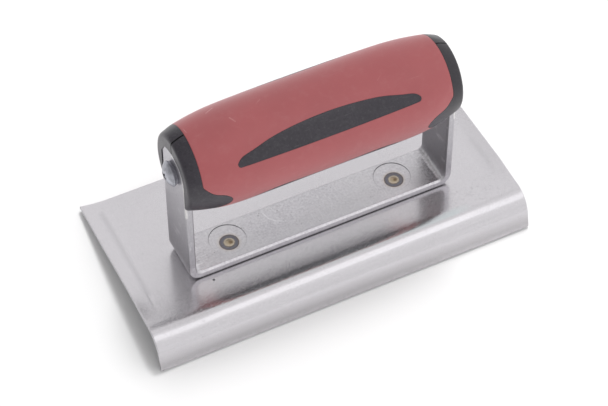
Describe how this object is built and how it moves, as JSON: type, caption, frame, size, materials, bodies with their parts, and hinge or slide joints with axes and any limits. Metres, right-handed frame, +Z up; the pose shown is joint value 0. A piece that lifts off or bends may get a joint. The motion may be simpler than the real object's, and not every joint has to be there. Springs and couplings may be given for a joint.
{
  "type": "concrete hand edger",
  "caption": "Hand tool for rounding concrete slab edges: thin steel blade with a rolled lip and turned-up ends, under a cushioned grip on a U-shaped strip bracket.",
  "frame": {"origin": "centre of the blade's flat working face (its underside), over the overall length and width", "axes": "+X along the tool, +Y to the back, away from the rolled lip, +Z up from the blade towards the handle"},
  "size_m": [0.1524, 0.073, 0.0843],
  "materials": {
    "blade_steel": "satin stainless with fine lengthwise polishing marks and light scuffs",
    "zinc_strip": "zinc-plated, slightly mottled, bright rounded edges",
    "weld_metal": "heat-tinted straw to blue-grey",
    "core_plastic": "fine matt moulding texture",
    "grip_rubber": "soft-touch, dusty sheen, small scuffs",
    "screw_steel": "zinc-plated",
    "insert_brass": "machined"
  },
  "bodies": {
    "root": {"blade": "blade_steel", "handle_bracket": "zinc_strip", "spot_weld_left": "weld_metal", "spot_weld_right": "weld_metal", "core_front": "core_plastic", "core_rear": "core_plastic", "grip_cover": "grip_rubber", "screw_left": "screw_steel", "screw_right": "screw_steel", "insert_left": "insert_brass", "insert_right": "insert_brass"}
  },
  "joints": []
}
